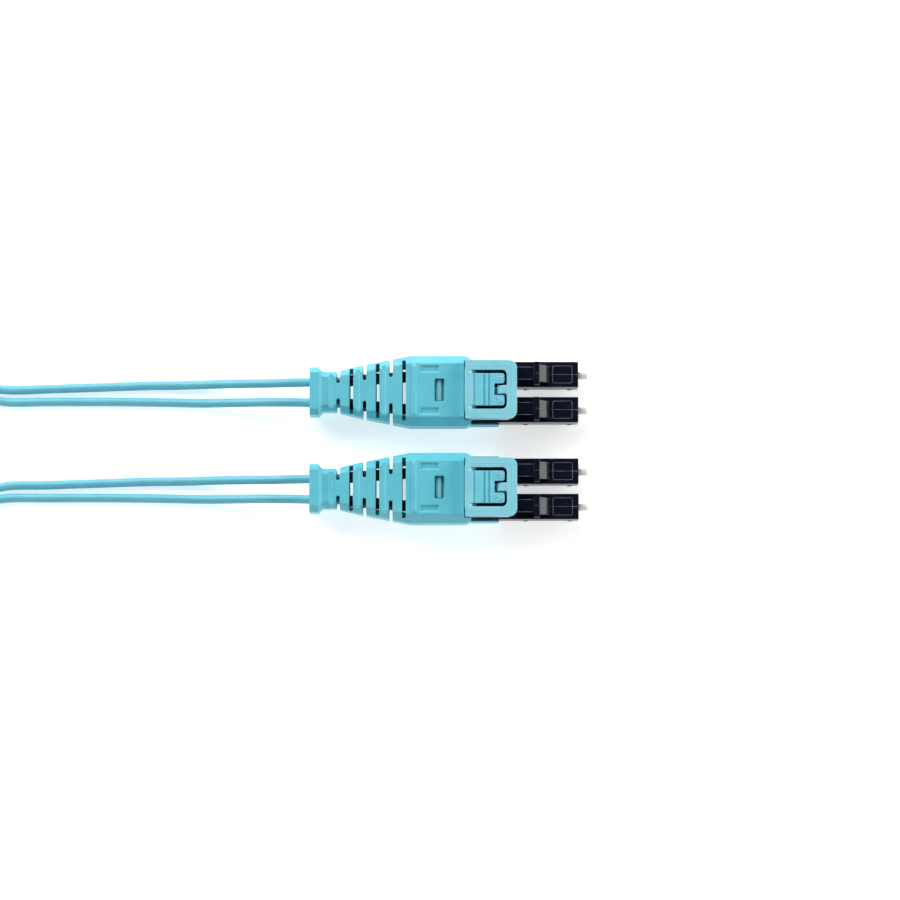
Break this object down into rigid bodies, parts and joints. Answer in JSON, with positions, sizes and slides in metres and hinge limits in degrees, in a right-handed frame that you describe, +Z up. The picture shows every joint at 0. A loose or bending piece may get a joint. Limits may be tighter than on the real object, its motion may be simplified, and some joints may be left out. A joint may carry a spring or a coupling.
{
  "type": "fiber optic patch cord",
  "caption": "Duplex fibre patch cord with push-pull LC ends: sliding boots, linked latches, sprung ferrules and a two-fibre cord in a tied coil.",
  "frame": {"origin": "centre of the two ends' footprint, on the surface they lie on", "axes": "+X towards the ferrules, +Y towards the upper end, +Z up"},
  "size_m": [0.1589, 0.0418, 0.01],
  "materials": {
    "boot_aqua": "satin",
    "clip_aqua": "satin",
    "plug_black": "semi-gloss",
    "zirconia": "polished ceramic",
    "metal": "machined",
    "steel": "wire",
    "sleeve_black": "matt",
    "jacket_aqua": "satin",
    "tie_black": "woven"
  },
  "bodies": {
    "cord": {"upper_clip": "clip_aqua", "upper_plug_b": "plug_black", "upper_backpost_b": "metal", "upper_crimp_b": "metal", "upper_sleeve_b": "sleeve_black", "upper_lead_b": "jacket_aqua", "upper_spring_b": "steel", "upper_plug_a": "plug_black", "upper_backpost_a": "metal", "upper_crimp_a": "metal", "upper_sleeve_a": "sleeve_black", "upper_lead_a": "jacket_aqua", "upper_spring_a": "steel", "lower_clip": "clip_aqua", "lower_plug_b": "plug_black", "lower_backpost_b": "metal", "lower_crimp_b": "metal", "lower_sleeve_b": "sleeve_black", "lower_lead_b": "jacket_aqua", "lower_spring_b": "steel", "lower_plug_a": "plug_black", "lower_backpost_a": "metal", "lower_crimp_a": "metal", "lower_sleeve_a": "sleeve_black", "lower_lead_a": "jacket_aqua", "lower_spring_a": "steel", "coil": "jacket_aqua", "tie": "tie_black"},
    "upper_boot": {"upper_boot": "boot_aqua"},
    "upper_trigger": {"upper_trigger": "clip_aqua"},
    "upper_latch_b": {"upper_latch_b": "plug_black"},
    "upper_ferrule_b": {"upper_ferrule_b": "zirconia", "upper_holder_b": "metal"},
    "upper_latch_a": {"upper_latch_a": "plug_black"},
    "upper_ferrule_a": {"upper_ferrule_a": "zirconia", "upper_holder_a": "metal"},
    "lower_boot": {"lower_boot": "boot_aqua"},
    "lower_trigger": {"lower_trigger": "clip_aqua"},
    "lower_latch_b": {"lower_latch_b": "plug_black"},
    "lower_ferrule_b": {"lower_ferrule_b": "zirconia", "lower_holder_b": "metal"},
    "lower_latch_a": {"lower_latch_a": "plug_black"},
    "lower_ferrule_a": {"lower_ferrule_a": "zirconia", "lower_holder_a": "metal"}
  },
  "joints": [
    {"name": "upper_boot_pull", "type": "slide", "parent": "cord", "child": "upper_boot", "axis": [-1, 0, 0], "range_m": [0, 0.0012], "stiffness_N_per_m": 400, "springref_m": -0.0005},
    {"name": "upper_trigger_press", "type": "hinge", "parent": "cord", "child": "upper_trigger", "pos_m": [0.00445, 0.00857, 0.0093], "axis": [0, 1, 0], "range_deg": [0, 18]},
    {"name": "upper_latch_b_press", "type": "hinge", "parent": "cord", "child": "upper_latch_b", "pos_m": [0.0173, 0.0117, 0.00525], "axis": [0, -1, 0], "range_deg": [0, 11]},
    {"name": "upper_ferrule_b_push", "type": "slide", "parent": "cord", "child": "upper_ferrule_b", "axis": [-1, 0, 0], "range_m": [0, 0.0005], "stiffness_N_per_m": 100, "springref_m": -0.001, "deforming": ["upper_spring_b"]},
    {"name": "upper_latch_a_press", "type": "hinge", "parent": "cord", "child": "upper_latch_a", "pos_m": [0.0173, 0.00545, 0.00525], "axis": [0, -1, 0], "range_deg": [0, 11]},
    {"name": "upper_ferrule_a_push", "type": "slide", "parent": "cord", "child": "upper_ferrule_a", "axis": [-1, 0, 0], "range_m": [0, 0.0005], "stiffness_N_per_m": 100, "springref_m": -0.001, "deforming": ["upper_spring_a"]},
    {"name": "lower_boot_pull", "type": "slide", "parent": "cord", "child": "lower_boot", "axis": [-1, 0, 0], "range_m": [0, 0.0012], "stiffness_N_per_m": 400, "springref_m": -0.0005},
    {"name": "lower_trigger_press", "type": "hinge", "parent": "cord", "child": "lower_trigger", "pos_m": [0.00445, -0.00857, 0.0093], "axis": [0, 1, 0], "range_deg": [0, 18]},
    {"name": "lower_latch_b_press", "type": "hinge", "parent": "cord", "child": "lower_latch_b", "pos_m": [0.0173, -0.00545, 0.00525], "axis": [0, -1, 0], "range_deg": [0, 11]},
    {"name": "lower_ferrule_b_push", "type": "slide", "parent": "cord", "child": "lower_ferrule_b", "axis": [-1, 0, 0], "range_m": [0, 0.0005], "stiffness_N_per_m": 100, "springref_m": -0.001, "deforming": ["lower_spring_b"]},
    {"name": "lower_latch_a_press", "type": "hinge", "parent": "cord", "child": "lower_latch_a", "pos_m": [0.0173, -0.0117, 0.00525], "axis": [0, -1, 0], "range_deg": [0, 11]},
    {"name": "lower_ferrule_a_push", "type": "slide", "parent": "cord", "child": "lower_ferrule_a", "axis": [-1, 0, 0], "range_m": [0, 0.0005], "stiffness_N_per_m": 100, "springref_m": -0.001, "deforming": ["lower_spring_a"]}
  ],
  "couplings": [
    {"joint": "upper_trigger_press", "follows": "upper_boot_pull", "rad_per_m": 240},
    {"joint": "upper_latch_b_press", "follows": "upper_boot_pull", "rad_per_m": 140},
    {"joint": "upper_latch_a_press", "follows": "upper_boot_pull", "rad_per_m": 140},
    {"joint": "lower_trigger_press", "follows": "lower_boot_pull", "rad_per_m": 240},
    {"joint": "lower_latch_b_press", "follows": "lower_boot_pull", "rad_per_m": 140},
    {"joint": "lower_latch_a_press", "follows": "lower_boot_pull", "rad_per_m": 140}
  ]
}
